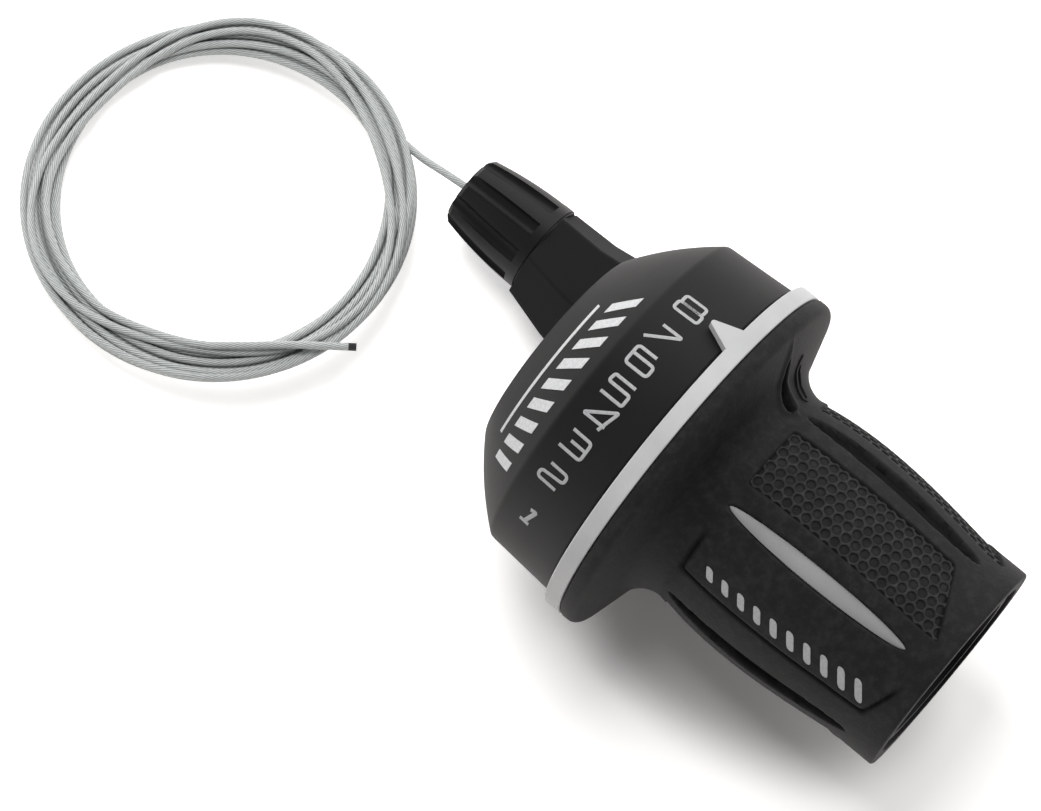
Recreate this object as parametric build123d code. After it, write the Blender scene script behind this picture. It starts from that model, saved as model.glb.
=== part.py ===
from build123d import *
import os
from math import acos, atan2, cos, degrees, pi, radians, sin, sqrt, tan

# Right-hand twist grip shifter for a straight handlebar, with its gear cable wound into a coil.
# Frame: +X along the handlebar towards its open end, +Y forward, +Z up, millimetres.
# The origin is on the handlebar's axis, in the plane of the indicator ring.
# Angles about the bar start at +Y and grow towards +Z.

# Fits
bar_radius = 11.1
bar_clearance = 0.1
running_gap = 0.3
bond_gap = 0.05

# Housing: cone, number band and the mandrel that the grip turns on
housing_end_x = -22.0
cone_small_radius = 15.3
cone_dome = 0.55
crease_x = -12.5
mouth_radius = 26.1
band_growth = 0.75
crease_round = 1.2
end_edge_round = 0.8
mouth_edge_round = 0.25
housing_wall = 2.0
clamp_collar_length = 6.8
mandrel_wall = 1.4
mandrel_end_x = 46.0

# Indicator ring and pointer
ring_inner_x = -1.28
ring_width = 2.56
ring_step = 1.35
ring_edge_round = 0.2
pointer_length = 4.5
pointer_width = 4.05
pointer_angle = 78.5
pointer_tip_radius = 0.45

# Drum with the cable groove and the detent notches
drum_gap = 1.7
drum_length = 7.9
groove_depth_on_drum = 2.5
detent_step = 5.5
groove_wall = 2.55
gear_turns = [0.0, 13.6, 23.5, 34.0, 42.7, 53.8, 67.0, 84.9]
notch_radius = 1.2
notch_rise = 0.4

# Travel stops inside the cone
stop_angle = 60.0
stop_half_angle = 5.0
stop_slack = 0.8
stop_lug_gap = 0.5
stop_rib_gap = 1.0

# Core tube and rubber grip
tube_wall = 1.7
tube_end_x = 45.1
rubber_end_x = 46.4
rubber_end_round = 0.35
flange_rim = 2.25
flange_lean = 0.3
flange_edge_round = 0.5
flange_rim_round = 1.3
flange_root_round = 4.6
neck_run = 3.45
neck_radius = 17.0
belly_x = 21.8
belly_radius = 18.12
waist_x = 33.0
waist_radius = 17.4
collar_x = 41.0
collar_radius = 16.4

# Pattern of six fields round the rubber grip
field_count = 6
field_pitch = 360.0 / field_count
field_start_x = 11.4
lens_angle = 118.2
lens_end_x = 41.0
lens_width = 3.05
lens_recess = 0.7
groove_depth = 1.0
panel_angle = 88.6
panel_width = 10.3
panel_end_x = 43.5
panel_slant = 4.7
panel_depth = 0.3
panel_round = 1.2
plate_angle = 142.5
plate_width = 7.8
plate_end_x = 41.4
plate_slant = -2.6
plate_height = 0.4
plate_round = 1.2

# Cable-change slot in the flange's root
slot_angle = 61.5
slot_start_x = 4.9
slot_length = 4.5
slot_width = 2.0

# Retaining ring near the open end
retainer_x = 44.6
retainer_width = 1.0
retainer_depth = 0.6
retainer_radius = 13.6
retainer_split = 6.0

# Gear cable
cable_radius = 0.55
cable_clearance = 0.3
head_radius = 2.2
head_length = 4.4
head_angle = 57.0
bend_radius = 8.0

# Barrel adjuster and its boss
barrel_rise = 2.61
barrel_angle = -42.25
adjuster_tip_x = -49.6
adjuster_tip_radius = 5.5
adjuster_middle_radius = 6.5
adjuster_base_x = -36.0
adjuster_base_radius = 6.84
adjuster_edge = 0.6
flute_count = 9
flute_phase = 22.0
flute_radius = 1.2
flute_depth = 0.9
flute_end_gap = 1.4
shank_radius = 2.9
shank_length = 10.0
casing_seat_radius = 2.6
casing_seat_depth = 7.0
boss_turn = 7.0
boss_lean_angle = 202.0
boss_edge_round = 0.7
boss_tip_radius = 7.5
boss_tip_lean = 0.4
boss_waist_x = -28.5
boss_waist_radius = 8.6
boss_waist_lean = 1.3
boss_root_x = -24.0
boss_root_radius = 9.4
boss_root_lean = 1.4
boss_shoulder_x = -10.0
boss_shoulder_lean = 1.0
boss_nose_x = -3.4
boss_nose_radius = 4.5

# Clamp screw and nut, on the underside
clamp_x = -18.4
clamp_angle = 255.0
screw_radius = 2.0
screw_inset = 0.4
screw_length = 7.0
screw_socket_radius = 1.15
screw_socket_depth = 2.5
nut_side = 6.0
nut_thickness = 2.4
nut_seat_radius = 13.6

# Detent spring
spring_angle = 225.0
spring_half_angle = 26.0
spring_thickness = 0.4
spring_wall_gap = 1.2
spring_width = 2.6
spring_x = -14.2
nose_half_angle = 7.0
nose_round = 0.7
nose_sink = 0.1
post_half_angle = 2.0
post_slack = 1.0

# Free cable: lead, coil and fused tip, as it lies
coil_centre = (-75.9, -6.15, -21.15)
coil_normal = (-0.1028, -0.1024, 0.9894)
coil_mean_radius = 25.5
coil_band = 5.8
coil_height = 4.2
lead_points = [(-49.6, 16.662, -15.135), (-54.4, 16.46, -15.705), (-59.7, 16.85, -18.2), (-69.7, 18.5, -18.9)]
tip_point = (-45.85, -12.25, -16.4)
tip_direction = (0.783, 0.599, 0.17)
tip_length = 9.0

# Worked out from the sizes above
crease_radius = mouth_radius - band_growth
ring_radius = mouth_radius + ring_step
flange_radius = ring_radius
drum_radius = mouth_radius - housing_wall - drum_gap
groove_radius = drum_radius - groove_depth_on_drum
detent_radius = drum_radius - detent_step
notch_centre_radius = detent_radius + notch_rise
stop_rib_radius = detent_radius + stop_rib_gap
barrel_offset = groove_radius + barrel_rise
bore_radius = bar_radius + bar_clearance
mandrel_radius = bore_radius + mandrel_wall
core_bore = mandrel_radius + running_gap
tube_radius = core_bore + tube_wall
ring_outer_x = ring_inner_x + ring_width
groove_x = ring_inner_x - groove_wall - cable_radius - cable_clearance
rim_x = ring_outer_x + bond_gap + flange_rim
root_x = rim_x + (flange_radius - neck_radius) * flange_lean
neck_x = root_x + neck_run
mouth_x = ring_inner_x - running_gap
collar_face_x = housing_end_x + clamp_collar_length
drum_start_x = collar_face_x + running_gap
drum_step_x = ring_inner_x - drum_length
cone_slope = (crease_radius - cone_small_radius) / (crease_x - housing_end_x)
travel = gear_turns[-1]
barrel_y = barrel_offset * cos(radians(barrel_angle))
barrel_z = barrel_offset * sin(radians(barrel_angle))
adjuster_middle_x = (adjuster_tip_x + adjuster_base_x) / 2
adjuster_slope = degrees(atan2(adjuster_base_radius - adjuster_tip_radius, adjuster_base_x - adjuster_tip_x))
boss_tip_x = adjuster_base_x + running_gap
lip_bore = retainer_radius + running_gap
touch_angle = barrel_angle + degrees(acos(groove_radius / barrel_offset))
channel_radius = cable_radius + 2 * cable_clearance

# Sketch plane that looks at the grip from outside: x along the bar, y round it
radial_plane = Plane(origin=(0, 0, 0), x_dir=(1, 0, 0), z_dir=(0, 1, 0))
overshoot = 1.0
reach = 2 * ring_radius


def turned(*lines):
    """Solid turned about the bar's axis from an outline of (x, radius) lines, closed by a straight one."""
    outline = Curve() + list(lines)
    gap = Line(outline @ 1, outline @ 0)
    return revolve(make_face(outline + gap), Axis.X)


def ring_solid(x0, x1, inner, outer):
    """Plain ring about the bar's axis."""
    return turned(Polyline((x0, inner), (x0, outer), (x1, outer), (x1, inner)))


def sector(x0, x1, inner, outer, angle, half_angle):
    """Part of a ring about the bar's axis, centred on an angle."""
    far = outer / cos(radians(half_angle)) + overshoot
    spread = far * tan(radians(half_angle))
    wedge = make_face(Polyline((0, 0), (far, -spread), (far, spread), close=True))
    prism = Pos(x0, 0, 0) * extrude(Plane.YZ * wedge, x1 - x0)
    return Rot(angle, 0, 0) * (prism & ring_solid(x0, x1, inner, outer))


def outward(sketch, angle):
    """Prism of a sketch on the radial plane, from the axis to past the ring, turned to an angle."""
    return Rot(angle, 0, 0) * extrude(radial_plane * sketch, reach)


def cone_inside(x):
    """Radius of the cone's inner wall at a place along the bar."""
    return cone_small_radius + cone_slope * (x - housing_end_x) - housing_wall * sqrt(1 + cone_slope**2)


def polar(radius, angle):
    """Point in the plane across the bar."""
    return (radius * cos(radians(angle)), radius * sin(radians(angle)))


def barrel_point(x, along=0.0):
    """Point on the barrel's axis, or beside it towards the place where the wire meets the drum."""
    touch_y, touch_z = polar(groove_radius, touch_angle)
    share = along / sqrt(barrel_offset**2 - groove_radius**2)
    return (x, barrel_y + share * (touch_y - barrel_y), barrel_z + share * (touch_z - barrel_z))


def wire_path(start_x, to_head):
    """Wire from the barrel round the elbow to the drum, and on round the groove to the head."""
    bend_start_x = groove_x - bend_radius
    run = Line(barrel_point(start_x), barrel_point(bend_start_x))
    middle = barrel_point(bend_start_x + bend_radius * sin(pi / 4), bend_radius * (1 - cos(pi / 4)))
    elbow_end = barrel_point(groove_x, bend_radius)
    elbow = ThreePointArc(barrel_point(bend_start_x), middle, elbow_end)
    touch = (groove_x, *polar(groove_radius, touch_angle))
    approach = Line(elbow_end, touch)
    path = Curve() + [run, elbow, approach]
    if to_head:
        half_way = (groove_x, *polar(groove_radius, (touch_angle + head_angle) / 2))
        end = (groove_x, *polar(groove_radius, head_angle))
        path = path + ThreePointArc(touch, half_way, end)
    return path


def wire(start_x, radius, to_head):
    """Round bar along the wire's path."""
    section = Plane(origin=barrel_point(start_x), z_dir=(1, 0, 0)) * Circle(radius)
    return sweep(section, path=wire_path(start_x, to_head))


def grip_outline(change):
    """Solid inside the grip's outer surface, grown or shrunk by a change of radius."""
    flange = FilletPolyline(
        (ring_outer_x + bond_gap, 0),
        (ring_outer_x + bond_gap, flange_radius + change),
        (rim_x, flange_radius + change),
        (root_x, neck_radius + change),
        (neck_x, neck_radius + change),
        radius=[flange_edge_round, flange_rim_round, flange_root_round],
    )
    body = Spline(
        (neck_x, neck_radius + change),
        (belly_x, belly_radius + change),
        (waist_x, waist_radius + change),
        (collar_x, collar_radius + change),
    )
    end = FilletPolyline(
        (collar_x, collar_radius + change),
        (rubber_end_x, collar_radius + change),
        (rubber_end_x, 0),
        radius=rubber_end_round,
    )
    return turned(flange, body, end)


def lens_sketch(margin):
    """Long lens along the bar."""
    middle = (field_start_x + lens_end_x) / 2
    return Pos(middle, 0) * Ellipse((lens_end_x - field_start_x) / 2 + margin, lens_width / 2 + margin)


def slanted_sketch(width, end_x, slant, corner):
    """Strip along the bar with a slanted outer end and rounded corners."""
    half = width / 2
    strip = make_face(
        Polyline(
            (field_start_x, -half),
            (end_x, -half),
            (end_x - slant, half),
            (field_start_x, half),
            close=True,
        )
    )
    return fillet(strip.vertices(), corner)


def stop_ribs():
    """Two ribs inside the cone that stop the drum's lug at both ends of its travel."""
    spread = 2 * stop_half_angle + stop_slack
    return [
        sector(collar_face_x - overshoot, drum_step_x, stop_rib_radius, mouth_radius, angle, stop_half_angle)
        for angle in (stop_angle - spread, stop_angle + travel + spread)
    ]


def spring_posts():
    """Two posts inside the cone that hold the detent spring's ends."""
    spread = spring_half_angle + post_half_angle + post_slack
    return [
        sector(
            collar_face_x - overshoot,
            drum_step_x,
            stop_rib_radius,
            mouth_radius,
            spring_angle + side * spread,
            post_half_angle,
        )
        for side in (-1, 1)
    ]


def boss():
    """Six-sided boss behind the cone that carries the adjuster and hides the wire's elbow.

    It widens towards the cone and leans a little to one side of the barrel.
    """
    stations = [
        (boss_tip_x, boss_tip_radius, boss_tip_lean),
        (boss_waist_x, boss_waist_radius, boss_waist_lean),
        (boss_root_x, boss_root_radius, boss_root_lean),
        (boss_shoulder_x, boss_root_radius, boss_shoulder_lean),
        (boss_nose_x, boss_nose_radius, 0.0),
    ]
    sections = []
    for x, radius, lean in stations:
        lean_y, lean_z = polar(lean, boss_lean_angle)
        place = Plane(origin=(x, barrel_y + lean_y, barrel_z + lean_z), x_dir=(0, 1, 0), z_dir=(1, 0, 0))
        hexagon = RegularPolygon(radius, 6, rotation=boss_turn)
        sections.append(place * fillet(hexagon.vertices(), boss_edge_round))
    return loft(sections, ruled=True)


def rim_near(solid, x):
    """Circular edge of a turned solid nearest to a place along the bar."""
    return min(solid.edges().filter_by(GeomType.CIRCLE), key=lambda edge: abs(edge.center().X - x))


def make_housing():
    """Cone, number band, boss and mandrel, in one moulding."""
    small = Vector(housing_end_x, cone_small_radius)
    crease = Vector(crease_x, crease_radius)
    across = (crease - small).normalized()
    top = (small + crease) * 0.5 + Vector(-across.Y, across.X) * cone_dome
    body = turned(
        Line((housing_end_x, 0), small),
        ThreePointArc(small, top, crease),
        Polyline(crease, (mouth_x, mouth_radius), (mouth_x, 0)),
    )
    rims = body.edges().filter_by(GeomType.CIRCLE).sort_by(Axis.X)
    body = fillet(rims[0], end_edge_round)
    body = fillet(rim_near(body, crease_x), crease_round)
    body = fillet(rim_near(body, mouth_x), mouth_edge_round)
    band_inner = crease_radius - housing_wall
    corner_x = housing_end_x + (band_inner - cone_inside(housing_end_x)) / cone_slope
    cavity = turned(
        Polyline(
            (collar_face_x, 0),
            (collar_face_x, cone_inside(collar_face_x)),
            (corner_x, band_inner),
            (mouth_x + overshoot, mouth_radius - housing_wall),
            (mouth_x + overshoot, 0),
        )
    )
    for rib in stop_ribs() + spring_posts():
        cavity = cavity - rib
    shank_hole_end = adjuster_base_x + shank_length + 2 * running_gap
    shank_hole = Pos((boss_tip_x + shank_hole_end) / 2, barrel_y, barrel_z) * Rot(0, 90, 0) * Cylinder(
        shank_radius + running_gap, shank_hole_end - boss_tip_x
    )
    body = body + boss() - cavity - shank_hole - wire(boss_tip_x, channel_radius, False)
    mandrel = ring_solid(housing_end_x, mandrel_end_x, 0, mandrel_radius)
    retainer_groove = ring_solid(
        retainer_x, retainer_x + retainer_width, mandrel_radius - retainer_depth, mandrel_radius + overshoot
    )
    bore = ring_solid(housing_end_x - overshoot, mandrel_end_x + overshoot, 0, bore_radius)
    screw_hole = Rot(clamp_angle, 0, 0) * Pos(clamp_x, reach / 2, 0) * Rot(90, 0, 0) * Cylinder(
        screw_radius + bond_gap, reach
    )
    nut_slot_length = clamp_x + nut_side / 2 + bond_gap - housing_end_x + overshoot
    nut_slot = Rot(clamp_angle, 0, 0) * Pos(
        housing_end_x - overshoot + nut_slot_length / 2, nut_seat_radius + nut_thickness / 2, 0
    ) * Box(nut_slot_length, nut_thickness + 2 * bond_gap, nut_side + 2 * bond_gap)
    return body + mandrel - retainer_groove - bore - screw_hole - nut_slot


def make_grip_core():
    """Grey moulding: drum, detent notches, indicator ring with pointer, tube and lens rib."""
    groove_floor = groove_radius - cable_radius - cable_clearance
    groove_wall_x = groove_x + cable_radius + cable_clearance
    core = turned(
        Polyline(
            (drum_start_x, core_bore),
            (drum_start_x, detent_radius),
            (drum_step_x, detent_radius),
            (drum_step_x, groove_floor),
            (groove_wall_x, groove_floor),
            (groove_wall_x, drum_radius),
            (ring_inner_x, drum_radius),
            (ring_inner_x, ring_radius),
            (ring_outer_x, ring_radius),
            (ring_outer_x, tube_radius),
            (tube_end_x, tube_radius),
            (tube_end_x, core_bore),
        )
    )
    ring_rims = [
        edge for edge in core.edges().filter_by(GeomType.CIRCLE) if abs(edge.radius - ring_radius) < bond_gap
    ]
    core = fillet(ring_rims, ring_edge_round)
    notch = Pos((drum_start_x + drum_step_x) / 2, notch_centre_radius, 0) * Rot(0, 90, 0) * Cylinder(
        notch_radius, drum_step_x - drum_start_x + 2 * overshoot
    )
    notch = notch & ring_solid(drum_start_x - overshoot, drum_step_x, 0, drum_radius)
    for turn in gear_turns:
        core = core - Rot(spring_angle - turn, 0, 0) * notch
    lug_radius = cone_inside(drum_start_x) - stop_lug_gap
    lug_root = detent_radius - overshoot
    lug = sector(drum_start_x, drum_step_x, lug_root, lug_radius, stop_angle, stop_half_angle)
    core = core + lug
    pocket_half = head_radius + cable_clearance
    pocket_end_x = ring_outer_x + overshoot
    pocket = Pos((groove_x - pocket_half + pocket_end_x) / 2, groove_radius, head_length / 2) * Box(
        pocket_end_x - groove_x + pocket_half, 2 * pocket_half, head_length + 2 * cable_clearance
    )
    core = core - Rot(head_angle, 0, 0) * pocket
    counterbore = ring_solid(retainer_x - running_gap, tube_end_x + overshoot, 0, lip_bore)
    core = core - counterbore
    arrow = make_face(
        Polyline(
            (ring_inner_x + overshoot, -pointer_width / 2),
            (ring_inner_x, -pointer_width / 2),
            (ring_inner_x - pointer_length, 0),
            (ring_inner_x, pointer_width / 2),
            (ring_inner_x + overshoot, pointer_width / 2),
            close=True,
        )
    )
    tip = arrow.vertices().sort_by(Axis.X)[0]
    arrow = fillet(tip, pointer_tip_radius)
    shell = ring_solid(ring_inner_x - reach, ring_outer_x, mouth_radius + running_gap, ring_radius)
    core = core + (outward(arrow, pointer_angle) & shell)
    rib = outward(lens_sketch(0), lens_angle) & grip_outline(-lens_recess)
    return core + (rib - ring_solid(ring_inner_x, tube_end_x, 0, tube_radius - tube_wall / 2))


def make_rubber_grip():
    """Rubber over the core: trumpet flange, dished panels, raised plate, lens grooves and cable slot."""
    grip = grip_outline(0)
    plate = slanted_sketch(plate_width, plate_end_x, plate_slant, plate_round)
    grip = grip + (outward(plate, plate_angle) & grip_outline(plate_height))
    panel = slanted_sketch(panel_width, panel_end_x, panel_slant, panel_round)
    panel_floor = grip_outline(-panel_depth)
    groove_floor = grip_outline(-groove_depth)
    for field in range(field_count):
        turn = field * field_pitch
        if field != 1:
            grip = grip - (outward(panel, panel_angle + turn) - panel_floor)
        if field != 0:
            grip = grip - (outward(lens_sketch(0), lens_angle + turn) - groove_floor)
    slot = SlotOverall(slot_length, slot_width)
    grip = grip - outward(Pos(slot_start_x + slot_length / 2, 0) * slot, slot_angle)
    grip = grip - outward(lens_sketch(bond_gap), lens_angle)
    grip = grip - ring_solid(ring_inner_x, rubber_end_x + overshoot, 0, lip_bore)
    return grip - ring_solid(ring_inner_x, tube_end_x + bond_gap, 0, tube_radius + bond_gap)


def make_retaining_ring():
    """Split ring in the mandrel's groove."""
    ring = ring_solid(
        retainer_x + bond_gap,
        retainer_x + retainer_width - bond_gap,
        mandrel_radius - retainer_depth + bond_gap,
        retainer_radius,
    )
    return ring - sector(
        retainer_x - overshoot,
        retainer_x + retainer_width + overshoot,
        0,
        reach,
        spring_angle,
        retainer_split,
    )


def make_detent_spring():
    """Bent leaf whose rounded nose sits in a notch of the drum."""
    spring_mid_radius = cone_inside(spring_x) - spring_wall_gap
    nose_low = notch_centre_radius - notch_radius + running_gap + spring_thickness / 2 - nose_sink
    shoulder = polar(spring_mid_radius, nose_half_angle)
    end = polar(spring_mid_radius, spring_half_angle)
    middle = polar(spring_mid_radius, (nose_half_angle + spring_half_angle) / 2)
    mirrored = [(y, -z) for y, z in (shoulder, end, middle)]
    nose = FilletPolyline(mirrored[0], (nose_low, 0), shoulder, radius=nose_round)
    leaf = Curve() + [
        ThreePointArc(mirrored[1], mirrored[2], mirrored[0]),
        nose,
        ThreePointArc(shoulder, middle, end),
    ]
    strip = trace(leaf, spring_thickness)
    return Rot(spring_angle, 0, 0) * Pos(spring_x, 0, 0) * extrude(Plane.YZ * strip, spring_width)


def make_clamp_screw():
    """Socket set screw that bears on the bar."""
    start = bore_radius + screw_inset
    screw = Pos(clamp_x, start + screw_length / 2, 0) * Rot(90, 0, 0) * Cylinder(screw_radius, screw_length)
    top = start + screw_length
    key = Plane(origin=(clamp_x, top, 0), z_dir=(0, -1, 0)) * RegularPolygon(screw_socket_radius, 6)
    return Rot(clamp_angle, 0, 0) * (screw - extrude(key, screw_socket_depth))


def make_clamp_nut():
    """Square nut held in the collar's slot."""
    thread = Rot(90, 0, 0) * Cylinder(screw_radius + bond_gap, nut_thickness + overshoot)
    nut = Box(nut_side, nut_thickness, nut_side) - thread
    return Rot(clamp_angle, 0, 0) * Pos(clamp_x, nut_seat_radius + nut_thickness / 2, 0) * nut


def make_cable_head():
    """Cast cylinder on the wire's end, along the groove's tangent."""
    head = Pos(groove_x, groove_radius, bond_gap + head_length / 2) * Cylinder(head_radius, head_length)
    return Rot(head_angle, 0, 0) * head


def make_barrel_adjuster():
    """Tapered knob with blind flutes, a shank and a seat for the cable's casing."""
    shoulder = (adjuster_tip_x + adjuster_edge, adjuster_tip_radius)
    knob = turned(
        Polyline((adjuster_tip_x, 0), (adjuster_tip_x, adjuster_tip_radius - adjuster_edge), shoulder),
        ThreePointArc(
            shoulder,
            (adjuster_middle_x, adjuster_middle_radius),
            (adjuster_base_x, adjuster_base_radius),
        ),
        Polyline(
            (adjuster_base_x, adjuster_base_radius),
            (adjuster_base_x, shank_radius),
            (adjuster_base_x + shank_length, shank_radius),
            (adjuster_base_x + shank_length, 0),
        )
    )
    flute_length = adjuster_base_x - adjuster_tip_x - flute_end_gap + overshoot
    flute = (
        Pos(adjuster_tip_x - overshoot, adjuster_tip_radius + flute_radius - flute_depth, 0)
        * Rot(0, 0, adjuster_slope)
        * Pos(flute_length / 2, 0, 0)
        * Rot(0, 90, 0)
        * Cylinder(flute_radius, flute_length)
    )
    for index in range(flute_count):
        knob = knob - Rot(flute_phase + index * 360.0 / flute_count, 0, 0) * flute
    wire_hole_end = adjuster_base_x + shank_length + overshoot
    knob = knob - ring_solid(adjuster_tip_x - overshoot, wire_hole_end, 0, cable_radius + cable_clearance)
    seat_end = adjuster_tip_x + casing_seat_depth
    knob = knob - ring_solid(adjuster_tip_x - overshoot, seat_end, 0, casing_seat_radius)
    return Pos(0, barrel_y, barrel_z) * knob


def make_cable_lead():
    """Short free run from the adjuster's tip into the coil, with the widest arcs that its runs allow."""
    points = [Vector(*point) for point in lead_points]
    radii = []
    for before, corner, after in zip(points, points[1:], points[2:]):
        turn = (corner - before).get_angle(after - corner)
        shorter = min((corner - before).length, (after - corner).length)
        radii.append(0.45 * shorter / tan(radians(turn / 2)))
    print("lead bend radii", [round(radius, 1) for radius in radii])
    path = FilletPolyline(*points, radius=radii)
    section = Plane(origin=points[0], z_dir=path % 0) * Circle(cable_radius)
    lead = sweep(section, path=path)
    full_volume = pi * cable_radius**2 * path.length
    print("lead length", round(path.length, 2), "volume ratio", round(lead.volume / full_volume, 4))
    return lead


def make_cable_coil():
    """Outer shape of the coil's turns."""
    section = Plane.XZ * Pos(coil_mean_radius, 0) * Ellipse(coil_band / 2, coil_height / 2)
    return Plane(origin=coil_centre, z_dir=coil_normal) * revolve(section, Axis.Z)


def make_cable_tip():
    """Free end of the wire, which lies across the coil and ends in a fused tip."""
    place = Plane(origin=tip_point, z_dir=tip_direction)
    return place * Pos(0, 0, -tip_length / 2) * Cylinder(cable_radius, tip_length)


nodes = {
    "housing": make_housing(),
    "grip_core": make_grip_core(),
    "rubber_grip": make_rubber_grip(),
    "retaining_ring": make_retaining_ring(),
    "detent_spring": make_detent_spring(),
    "clamp_screw": make_clamp_screw(),
    "clamp_nut": make_clamp_nut(),
    "cable_head": make_cable_head(),
    "barrel_adjuster": make_barrel_adjuster(),
    "cable_inner": wire(adjuster_tip_x, cable_radius, True),
    "cable_lead": make_cable_lead(),
    "cable_coil": make_cable_coil(),
    "cable_tip": make_cable_tip(),
}

os.makedirs("parts", exist_ok=True)
for name, solid in nodes.items():
    export_step(solid, f"parts/{name}.step")
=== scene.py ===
import bpy
import numpy as np
from mathutils import Matrix


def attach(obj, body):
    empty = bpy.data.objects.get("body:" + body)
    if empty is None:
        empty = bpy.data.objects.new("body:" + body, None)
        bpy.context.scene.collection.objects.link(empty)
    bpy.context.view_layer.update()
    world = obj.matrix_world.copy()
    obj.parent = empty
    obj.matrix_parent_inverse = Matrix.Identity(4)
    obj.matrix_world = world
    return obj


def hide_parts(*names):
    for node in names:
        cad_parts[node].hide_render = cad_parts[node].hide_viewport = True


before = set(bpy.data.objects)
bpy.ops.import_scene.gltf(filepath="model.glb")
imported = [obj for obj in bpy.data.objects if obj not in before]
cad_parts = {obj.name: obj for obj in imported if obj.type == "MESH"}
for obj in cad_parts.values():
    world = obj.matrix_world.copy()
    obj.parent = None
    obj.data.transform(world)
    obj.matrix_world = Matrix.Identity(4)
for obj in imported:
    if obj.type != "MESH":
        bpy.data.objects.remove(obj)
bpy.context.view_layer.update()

# Sizes are in millimetres, in the part's own frame: +X along the bar towards the grip's open end,
# angles in degrees about the bar from +Y towards +Z. MM turns them into Blender's metres.
MM = 0.001
MERGE_DISTANCE = 0.001

# Least angle of the edges that stay sharp: on prints, CAD skins, plain pieces, the wire and the rubber
PRINT_ANGLE = 30.0
SKIN_ANGLE = 30.0
PLAIN_ANGLE = 40.0
WIRE_ANGLE = 50.0
SOFT_ANGLE = 70.0

# Rubber grip: the outline of its trumpet flange, belly and end collar
RING_OUTER_X = 1.28
BOND_GAP = 0.05
FLANGE_RADIUS = 27.45
FLANGE_RIM = 2.25
FLANGE_LEAN = 0.3
FLANGE_ROUNDS = (0.5, 1.3, 4.6)
FLANGE_FACE = 2.0
NECK_RADIUS = 17.0
NECK_RUN = 3.45
BELLY = (21.8, 18.12)
WAIST = (33.0, 17.4)
COLLAR = (41.0, 16.4)
RUBBER_END_X = 46.4
TUBE_END_X = 45.1
LIP_BORE = 13.9
RUBBER_BORE = 14.65
END_ROUND = 0.35
GRIP_COLUMNS = 440
GRIP_ROW_SPACING = 0.28
BELLY_POINTS = 60
RIM_MARGIN = 0.5

# The six fields round the grip, by the angle of their middle
FIELD_COUNT = 6
FIELD_PITCH = 360.0 / FIELD_COUNT
FIELD_START_X = 11.4
CORNER_SOFTNESS = 0.2
LENS_ANGLE = 118.6
LENS_END_X = 41.0
LENS_WIDTH = 2.95
LENS_SHARE = 0.85
LENS_DEPTH = 1.1
LENS_SINK = 0.3
LENS_CROWN = 0.12
LENS_ROOT = 0.2
LENS_TIP = 0.02
LENS_WALL = 0.4
LENS_WALL_GAP = 0.05
LENS_END_WALL = 0.3
# Painted shade in the lens's groove
LENS_GROOVE_PAINTED_SHADE = 0.8
LENS_ROWS = 90
LENS_COLUMNS = 13
PANEL_ANGLE = 88.6
PANEL_WIDTH = 10.3
PANEL_END_X = 43.5
PANEL_SLANT = 4.7
PANEL_DEPTH = 0.28
PANEL_SEAT = 0.25
PANEL_FLOOR = 0.2
PANEL_MARGIN = 0.2
PANEL_SPACING = 0.12
# Width of the painted shade line along each panel's edge
PANEL_EDGE_SHADE_WIDTH = 0.2
PANEL_FIELDS = (0, 2, 3, 4, 5)
PLATE_ANGLE = 142.5
PLATE_WIDTH = 7.8
PLATE_END_X = 41.4
PLATE_SLANT = -2.6
PLATE_HEIGHT = 0.4
PLATE_FADE = 4.0
PLATE_GROOVE = 0.42
STEP_WIDTH = 0.34
DIMPLE_PITCH = 1.62
DIMPLE_ROW = 1.38
DIMPLE_RADIUS = 0.6
DIMPLE_WALL = 0.17
DIMPLE_DEPTH = 0.42
# Painted shade on the pits' walls and on their floors
DIMPLE_WALL_PAINTED_SHADE = 0.8
DIMPLE_FLOOR_PAINTED_SHADE = 0.3

# Cable door in the flange's root: a drop-shaped slot with a lip, and the loop of its plug beside it
SLOT_ANGLE = 61.5
SLOT_START_X = 4.9
SLOT_LENGTH = 4.5
SLOT_WIDTH = 2.2
SLOT_DEPTH = 1.7
SLOT_DROP = 1.4
SLOT_WALL = 0.4
SLOT_WALL_GAP = 0.1
SLOT_LIP = 0.3
SLOT_LIP_WIDTH = 0.5
SLOT_LIP_OFFSET = 0.45
LOOP_ANGLE = 46.5
LOOP_MIDDLE_X = 7.4
LOOP_LENGTH = 3.9
LOOP_WIDTH = 1.5
LOOP_STROKE = 0.4
LOOP_HEIGHT = 0.22
LOOP_ROOT = 0.3
LOOP_POINTS = 41

# Number band and cone of the housing
HOUSING_END_X = -22.0
CONE_SMALL_RADIUS = 15.3
CONE_DOME = 0.55
CREASE_X = -12.5
CREASE_RADIUS = 25.35
MOUTH_X = -1.58
MOUTH_RADIUS = 26.1
NUMBER_ANGLE = 76.8
NUMBER_TURNS = (84.9, 67.4, 54.7, 44.0, 34.3, 23.3, 13.6, 0.2)
DIGIT_X = -8.45
DIGIT_HEIGHT = 3.35
DIGIT_WIDTH = 4.05
DIGIT_STROKE = 0.47
DIGIT_SPACING = 0.1
PRINT_LIFT = 0.04
STROKE_FLAT = 0.84
STROKE_EDGE = 0.7

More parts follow.
